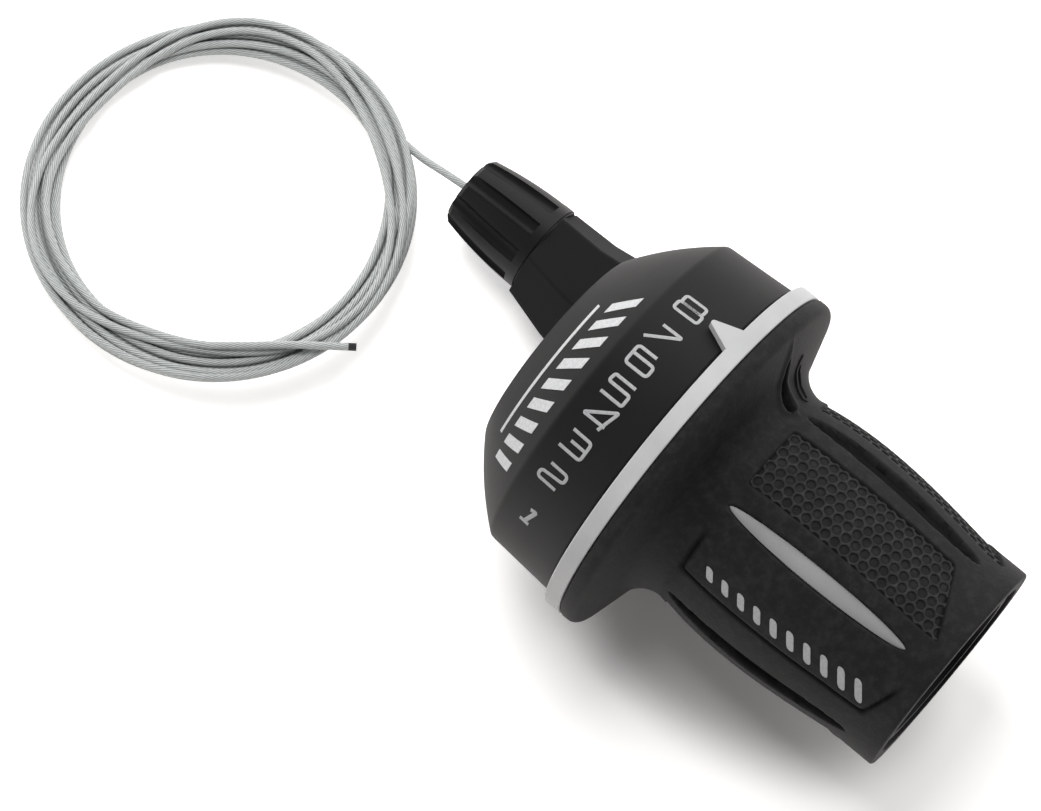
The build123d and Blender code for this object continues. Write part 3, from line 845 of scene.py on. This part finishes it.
def make_plug_loop(material):
    """Loop of the cable door's plug: a stroke along a racetrack on the flange's root."""
    straight = (LOOP_LENGTH - LOOP_WIDTH) / 2
    turn = np.linspace(0.0, 2 * np.pi, LOOP_POINTS)
    x = LOOP_MIDDLE_X + LOOP_WIDTH / 2 * np.cos(turn) + straight * np.sign(np.round(np.cos(turn), 6))
    line = np.stack([x, LOOP_WIDTH / 2 * np.sin(turn)], axis=1)
    points, faces = ribbon(line, LOOP_STROKE, -LOOP_ROOT, LOOP_HEIGHT, LOOP_ANGLE, grip_radius)
    put_piece("plug_loop", points, faces, material, "grip")


# Strokes of the band's numbers on a cell 1 wide and 1 tall, from its lower left corner, and the round of
# their corners in millimetres
DIGITS = {
    1: ([[(0.5, 0.9), (0.8, 0.99), (0.48, -0.25)], [(0.22, -0.25), (0.74, -0.25)]], 0.1),
    2: ([[(0.18, 1.0), (1.0, 1.0), (1.0, 0.55), (0.0, 0.42), (0.0, 0.0), (0.88, 0.0)]], 0.5),
    3: ([[(0.12, 1.0), (1.0, 1.0), (1.0, 0.0), (0.0, 0.0)], [(0.3, 0.5), (1.0, 0.5)]], 0.5),
    4: ([[(1.0, 0.28), (-0.02, 0.25), (1.1, 1.22), (0.84, 0.0)]], 0.1),
    5: ([[(1.0, 1.0), (0.05, 1.0), (0.0, 0.58), (1.0, 0.58), (1.0, 0.0), (0.0, 0.0)]], 0.32),
    6: ([[(0.85, 1.0), (0.0, 1.0), (0.0, 0.0), (1.0, 0.0), (1.0, 0.58), (0.0, 0.58)]], 0.5),
    7: ([[(0.16, 1.0), (1.08, 1.0), (-0.12, 0.0)]], 0.12),
    8: (
        [
            [(0.5, 0.52), (0.97, 0.52), (0.97, 1.0), (0.03, 1.0), (0.03, 0.52), (0.5, 0.52)],
            [(0.5, 0.52), (1.04, 0.52), (1.04, 0.0), (-0.04, 0.0), (-0.04, 0.52), (0.5, 0.52)],
        ],
        0.4,
    ),
}
SMALL_DIGIT = 1
SMALL_DIGIT_SHARE = 0.84
SMALL_DIGIT_STROKE = 0.6


def make_digits(material):
    """Numbers on the band: strokes on its surface, each number where the pointer stands in that gear."""
    for number, (strokes, corner) in DIGITS.items():
        small = number == SMALL_DIGIT
        share = SMALL_DIGIT_SHARE if small else 1.0
        width = SMALL_DIGIT_STROKE if small else DIGIT_STROKE
        size = share * np.array([DIGIT_WIDTH, DIGIT_HEIGHT]) - DIGIT_STROKE
        angle = NUMBER_ANGLE + NUMBER_TURNS[number - 1]
        parts = []
        for stroke in strokes:
            flat = (np.array(stroke) - 0.5) * size
            line = rounded_line(flat, [corner] * (len(flat) - 2), steps=7)
            line = resample(line, DIGIT_SPACING) + (DIGIT_X, 0.0)
            parts.append(ribbon(line, width, -PRINT_LIFT, PRINT_LIFT, angle, band_radius))
        points, faces = join(parts)
        name = f"band_number_{number}"
        put_piece(name, points, faces, material, "housing", PRINT_ANGLE)


def make_cone_marks(material):
    """Plain marks on the cone: a row of slanted bars and a thin line round it beside them."""
    start, stop = CONE_MARK_ANGLES
    x = np.repeat(np.linspace(*CONE_MARK_X, CONE_MARK_ROWS)[:, None], CONE_MARK_COLUMNS, axis=1)
    lean = CONE_MARK_SLANT * np.linspace(-1.0, 1.0, CONE_MARK_ROWS)[:, None]
    across = np.linspace(0.5, -0.5, CONE_MARK_COLUMNS)[None, :] * CONE_MARK_WIDTH
    bars = [
        patch(x, across + lean, -PRINT_LIFT, PRINT_LIFT, angle, cone_radius)
        for angle in np.linspace(start, stop, CONE_MARK_COUNT)
    ]
    middle = (start + stop) / 2
    reach = np.radians(stop - start) / 2 * cone_radius(CONE_LINE_X) * CONE_LINE_SHARE
    s = np.repeat(np.linspace(reach, -reach, CONE_LINE_COLUMNS)[None, :], CONE_LINE_ROWS, axis=0)
    beside = np.linspace(-0.5, 0.5, CONE_LINE_ROWS)[:, None]
    x = CONE_LINE_X + np.repeat(beside, CONE_LINE_COLUMNS, axis=1) * CONE_LINE_WIDTH
    line = patch(x, s, -PRINT_LIFT, PRINT_LIFT, middle, cone_radius)
    points, faces = join([*bars, line])
    put_piece("cone_marks", points, faces, material, "housing", PRINT_ANGLE)


def make_plate_marks(material):
    """Plain marks on the grip's plate: a row of slanted bars with rounded ends that grow along it."""
    up = np.sin(np.linspace(-np.pi / 2, np.pi / 2, PLATE_MARK_ROWS))
    across = np.linspace(-1.0, 1.0, PLATE_MARK_COLUMNS)
    full = np.sqrt(np.clip(1.0 - np.abs(up) ** PLATE_MARK_SQUARENESS, 0.0, 1.0))
    width = PLATE_MARK_WIDTH / 2 * full + PLATE_MARK_TIP
    middles = np.linspace(*PLATE_MARK_X, PLATE_MARK_COUNT)
    shares = np.linspace(PLATE_MARK_LEAST, 1.0, PLATE_MARK_COUNT)
    bars = []
    for middle_x, share in zip(middles, shares):
        half = PLATE_MARK_HEIGHT / 2 * share
        x = middle_x + PLATE_MARK_SLANT * up[None, :] * share + across[:, None] * width[None, :]
        s = -np.repeat(up[None, :] * half, PLATE_MARK_COLUMNS, axis=0)
        bars.append(patch(x, s, 0.0, PLATE_HEIGHT + PRINT_LIFT, PLATE_MARK_ANGLE, grip_radius))
    points, faces = join(bars)
    put_piece("plate_marks", points, faces, material, "grip", PRINT_ANGLE)


def make_washer(material):
    """Washer between knob and boss: a flat section turned about the adjuster's axis."""
    turn = np.linspace(0.0, 2 * np.pi, WASHER_COLUMNS, endpoint=False)
    corners = [
        (WASHER_X[0], WASHER_RADIUS),
        (WASHER_X[1], WASHER_RADIUS),
        (WASHER_X[1], WASHER_BORE),
        (WASHER_X[0], WASHER_BORE),
    ]
    rows = [
        np.column_stack(
            [
                np.full(WASHER_COLUMNS, x),
                BARREL_AXIS[0] + radius * np.cos(turn),
                BARREL_AXIS[1] + radius * np.sin(turn),
            ]
        )
        for x, radius in corners
    ]
    faces = grid_faces(len(rows), WASHER_COLUMNS, wrap_rows=True, wrap_columns=True)
    put_piece("adjuster_washer", np.stack(rows), faces, material, "adjuster")


def coil_axes():
    """Two directions across the coil, the first towards +X, and its normal."""
    normal = COIL_NORMAL / np.linalg.norm(COIL_NORMAL)
    first = np.array([1.0, 0.0, 0.0]) - normal * normal[0]
    first /= np.linalg.norm(first)
    return first, np.cross(normal, first), normal


def coil_points():
    """Turns of the coil: four laps on one another that wind out, in, out and in again.

    The radius goes by about one strand to the turn, the height steps up from lap to lap, and a wave of
    three bows to the turn weaves the laps across one another. The spline runs a little inside its
    points, so they are put out by that share.
    """
    first, second, normal = coil_axes()
    lead_end = np.array(LEAD_POINTS[-1]) - COIL_CENTRE
    start = np.arctan2(lead_end @ second, lead_end @ first) + POINTS_FROM_LEAD * 2 * np.pi / POINTS_PER_TURN
    turns = np.arange(0.0, COIL_TURNS, 1.0 / POINTS_PER_TURN)
    level = sum(smooth_step(turns - edge, COIL_STEP_TURNS) for edge in COIL_LAP_ENDS)
    laps = np.arange(len(COIL_LEVELS))
    angle = start + 2 * np.pi * turns
    phase = np.radians(np.interp(level, laps, COIL_WAVE_ANGLES))
    wave = np.interp(level, laps, COIL_WAVES) * np.sin(COIL_BOWS * angle + phase)
    start_middle, start_width = COIL_WAVE_START
    end_middle, end_width = COIL_WAVE_END
    ease = smooth_step(turns - start_middle, start_width)
    ease = ease * smooth_step(COIL_TURNS - end_middle - turns, end_width)
    radius = COIL_RADIUS + np.interp(turns, COIL_LANE_TURNS, COIL_LANES) + wave * ease
    radius = radius / np.cos(np.pi / POINTS_PER_TURN) ** SPLINE_SHRINK
    across = radius * np.cos(angle)
    along = radius * np.sin(angle)
    height = np.interp(level, laps, COIL_LEVELS)
    return COIL_CENTRE + across[:, None] * first + along[:, None] * second + height[:, None] * normal


def spline_line(points):
    """Centreline of the cable: the quadratic NURBS spline of its route's points, in millimetres."""
    curve = bpy.data.curves.new("cable_route", "CURVE")
    curve.dimensions = "3D"
    spline = curve.splines.new("NURBS")
    spline.points.add(len(points) - 1)
    spline.points.foreach_set("co", np.column_stack([points, np.ones(len(points))]).ravel())
    spline.order_u = 3
    spline.use_endpoint_u = True
    spline.resolution_u = 6
    route = bpy.data.objects.new("cable_route", curve)
    bpy.context.scene.collection.objects.link(route)
    bpy.context.view_layer.update()
    mesh = bpy.data.meshes.new_from_object(route)
    line = np.zeros(len(mesh.vertices) * 3)
    mesh.vertices.foreach_get("co", line)
    bpy.data.objects.remove(route)
    bpy.data.curves.remove(curve)
    bpy.data.meshes.remove(mesh)
    return line.reshape(-1, 3)


def tube_frames(line):
    """Side directions along a line that turn as little as they can: each is the last made square again."""
    along = np.gradient(line, axis=0)
    along /= np.linalg.norm(along, axis=1, keepdims=True)
    side = np.empty_like(line)
    last = np.array([0.0, 0.0, 1.0])
    for index, direction in enumerate(along):
        last = last - direction * (last @ direction)
        last /= np.linalg.norm(last)
        side[index] = last
    return side, np.cross(along, side)


def make_cable():
    """Gear cable: a round tube carried along the route's spline, with its length in the UV map."""
    route = np.concatenate([np.array(LEAD_POINTS), coil_points(), np.array(TAIL_POINTS)])
    line = spline_line(route)
    apart = np.linalg.norm(np.diff(line, axis=0), axis=1) > MERGE_DISTANCE / 10
    line = line[np.concatenate([[True], apart])]
    line = resample(line, CABLE_ROW_SPACING)
    lengths = np.concatenate([[0.0], np.cumsum(np.linalg.norm(np.diff(line, axis=0), axis=1))])
    side, other = tube_frames(line)
    columns = CABLE_COLUMNS
    turn = np.arange(columns) * 2 * np.pi / columns
    ring = np.cos(turn)[None, :, None] * side[:, None, :] + np.sin(turn)[None, :, None] * other[:, None, :]
    points = line[:, None, :] + CABLE_DIAMETER / 2 * ring
    rows = len(line)
    faces = grid_faces(rows, columns, wrap_columns=True)[:, ::-1]
    caps = [list(range(columns)), list(range(rows * columns - 1, (rows - 1) * columns - 1, -1))]
    length = lengths[-1] * MM
    wire = stranded_wire(length)
    faces_and_caps = faces.tolist() + caps
    piece = put_piece("gear_cable", points, faces_and_caps, wire, "housing", WIRE_ANGLE)
    uv = piece.data.uv_layers.new(name="along")
    row = faces // columns
    column = faces % columns
    column = np.where((column == 0) & (column.max(axis=1, keepdims=True) == columns - 1), columns, column)
    side_uv = np.stack([lengths[row] * MM, column / columns], axis=-1).reshape(-1, 2)
    cap_uv = np.repeat([[0.0, 0.0], [length, 0.0]], columns, axis=0)
    uv.data.foreach_set("uv", np.concatenate([side_uv, cap_uv]).ravel())
    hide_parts("cable_lead", "cable_coil", "cable_tip")


def camera_axes():
    """Camera's right, up and back directions, from the bar's lean, the side seen and the image's spin."""
    tilt = np.radians(AXIS_TILT)
    seen = np.radians(CAMERA_ANGLE)
    back = np.array([np.sin(tilt), np.cos(tilt) * np.cos(seen), np.cos(tilt) * np.sin(seen)])
    along = np.array([1.0, 0.0, 0.0]) - back * back[0]
    along /= np.linalg.norm(along)
    across = np.cross(back, along)
    spin = np.radians(IMAGE_SPIN)
    right = np.cos(spin) * along + np.sin(spin) * across
    up = np.cos(spin) * across - np.sin(spin) * along
    return right, up, back


def make_camera():
    """Long lens that puts the origin on its pixel of the photograph."""
    right, up, back = camera_axes()
    aside = (ORIGIN_PIXEL[0] - PHOTO_WIDTH / 2) / PIXELS_PER_MM
    below = (ORIGIN_PIXEL[1] - PHOTO_HEIGHT / 2) / PIXELS_PER_MM
    place = CAMERA_DISTANCE * back - aside * right + below * up
    camera = bpy.data.cameras.new("photo_camera")
    camera.sensor_fit = "HORIZONTAL"
    camera.sensor_width = SENSOR_WIDTH
    camera.lens = SENSOR_WIDTH * PIXELS_PER_MM * CAMERA_DISTANCE / PHOTO_WIDTH
    camera.clip_start = 0.01
    camera.clip_end = 20.0
    holder = bpy.data.objects.new("photo_camera", camera)
    matrix = np.eye(4)
    matrix[:3, :3] = np.column_stack([right, up, back])
    matrix[:3, 3] = place * MM
    holder.matrix_world = Matrix(matrix.tolist())
    bpy.context.scene.collection.objects.link(holder)
    bpy.context.scene.camera = holder


def make_light(name, place, aim, size, power, sheen):
    """Square soft light at a place, in millimetres, that faces a point, with or without its own sheen."""
    light = bpy.data.lights.new(name, "AREA")
    light.shape = "SQUARE"
    light.size = size * MM
    light.energy = power
    holder = bpy.data.objects.new(name, light)
    back = np.array(place, float) - np.array(aim, float)
    back /= np.linalg.norm(back)
    right = np.cross([0.0, 0.0, 1.0], back)
    right /= np.linalg.norm(right)
    matrix = np.eye(4)
    matrix[:3, :3] = np.column_stack([right, np.cross(back, right), back])
    matrix[:3, 3] = np.array(place) * MM
    holder.matrix_world = Matrix(matrix.tolist())
    holder.visible_glossy = sheen
    bpy.context.scene.collection.objects.link(holder)


def make_floor():
    """White table, seen from above only: its glow clears far shadows and fades out close under the grip."""
    flat = FLOOR_HALF * np.array([(-1.0, -1.0), (1.0, -1.0), (1.0, 1.0), (-1.0, 1.0)])
    corners = np.column_stack([flat, FLOOR_Z + flat @ FLOOR_SLOPES])
    mesh = bpy.data.meshes.new("floor")
    mesh.from_pydata(corners * MM, [], [(0, 1, 2, 3)])
    floor = bpy.data.objects.new("floor", mesh)
    bpy.context.scene.collection.objects.link(floor)
    material, shading = new_finish(
        "floor_white",
        Roughness=0.9,
        Specular_IOR_Level=0.1,
        Emission_Strength=GLOW_STRENGTH,
    )
    seen = shading.node("ShaderNodeLightPath", output="Is Camera Ray")
    seen = seen + (seen.part("Is Glossy Ray") + seen.part("Is Transmission Ray")) * GLOW_IN_SHEEN
    spot = shading.node("ShaderNodeSeparateXYZ", {}, {0: shading.place()})
    along = (spot - SHADE_MIDDLE_X * MM) * (1.0 / (SHADE_LENGTH * MM))
    across = spot.part(1) * (1.0 / (SHADE_WIDTH * MM))
    clear = (along * along + across * across).above(SHADE_EDGE, SHADE_EDGE_WIDTH)
    by_grip = spot.above(GLOW_EDGE_X * MM, GLOW_EDGE_WIDTH * MM)
    glow = shading.mix(by_grip, grey(GLOW_COIL_LEVEL), grey(GLOW_GRIP_LEVEL))
    below = shading.node("ShaderNodeNewGeometry", output="Backfacing")
    shading.set(
        Base_Color=grey(FLOOR_LEVEL, FLOOR_WARMTH),
        Emission_Color=shading.mix(seen * clear, grey(0.0), glow),
        Alpha=1.0 - below,
    )
    mesh.materials.append(material)


def make_studio():
    """Soft tent of light and a wide lamp high above.

    The tent is brighter low down, on the cone's side and high up at the far side, darker on the grip's
    side, and plain white where the camera itself looks past the table.
    """
    world = bpy.data.worlds.new("studio")
    world.use_nodes = True
    shading = Shading(world.node_tree, "Background")
    aside = shading.node("ShaderNodeSeparateXYZ", {}, {0: shading.place("Generated")})
    height = aside.part(2)
    tent = shading.mix(height.above(*TENT_TOP_EDGE), grey(TENT_LOW_LEVEL), grey(TENT_TOP_LEVEL))
    cone_side = (0.0 - aside).above(*TENT_CONE_EDGE) * (1.0 - height.above(*TENT_CONE_TOP))
    far_side = aside.part(1).above(*TENT_FAR_EDGE) * height.above(*TENT_FAR_FOOT)
    grip_side = aside.above(*TENT_GRIP_EDGE)
    tent = shading.mix(grip_side, tent, grey(TENT_GRIP_LEVEL))
    tent = shading.mix(cone_side, tent, grey(TENT_CONE_LEVEL))
    tent = shading.mix(far_side, tent, grey(TENT_FAR_LEVEL))
    seen = shading.node("ShaderNodeLightPath", output="Is Camera Ray")
    shading.set(Color=shading.mix(seen, tent, grey(1.0)), Strength=1.0)
    bpy.context.scene.world = world
    make_light("key", LAMP_PLACE, LAMP_AIM, LAMP_SIZE, LAMP_POWER, sheen=False)


housing_plastic = moulded_plastic(
    "housing_plastic",
    level=0.007,
    roughness=0.6,
    grain=0.000012,
    matte_below=HOUSING_END_X * MM,
)
ring_plastic = moulded_plastic("grey_plastic", level=0.43, roughness=0.45, grain=0.000008, warmth=-0.005)
# The lens takes a darker copy of the ring's grey plastic: painted shade for the sunk lens
lens_plastic_painted_shade = moulded_plastic("lens_plastic_painted_shade", level=0.25, roughness=0.4, grain=0.000006, warmth=-0.005)
black_plastic = moulded_plastic("black_plastic", level=0.006, roughness=0.47, grain=0.000012)
rubber = grip_rubber("grip_rubber", level=0.0145)
# The dimple panels take a lighter copy of the grip rubber: painted sheen for the light that they catch
panel_rubber_painted_sheen = grip_rubber("panel_rubber_painted_sheen", level=0.026)
band_ink = printed_ink("band_ink", level=0.34)
cone_ink = printed_ink("cone_ink", level=0.48)
plate_ink = printed_ink("plate_ink", level=0.34)
# Near-black steel for the retaining ring: a blackened finish, and painted shade that keeps the grip's open
# end dark
black_steel_and_painted_shade = plain_steel("black_steel_and_painted_shade", level=0.08, roughness=0.45)
spring_steel = plain_steel("spring_steel", level=0.55, roughness=0.3)
screw_steel = plain_steel("screw_steel", level=0.35, roughness=0.35)
wire_steel = plain_steel("wire_steel", level=0.45, roughness=0.4)

skin_of("housing", housing_plastic, "housing")
skin_of("grip_core", ring_plastic, "grip")
skin_of("barrel_adjuster", black_plastic, "adjuster")
make_rubber_grip(rubber)
for field in PANEL_FIELDS:
    make_dimple_panel(field, panel_rubber_painted_sheen)
make_lens(lens_plastic_painted_shade)
make_plug_loop(rubber)
make_washer(black_plastic)
make_digits(band_ink)
make_cone_marks(cone_ink)
make_plate_marks(plate_ink)
make_cable()
paint("retaining_ring", black_steel_and_painted_shade)
paint("detent_spring", spring_steel)
paint("clamp_screw", screw_steel)
paint("clamp_nut", screw_steel)
paint("cable_head", wire_steel)
paint("cable_inner", wire_steel)

make_camera()
make_floor()
make_studio()
bpy.context.scene.view_settings.view_transform = "Standard"
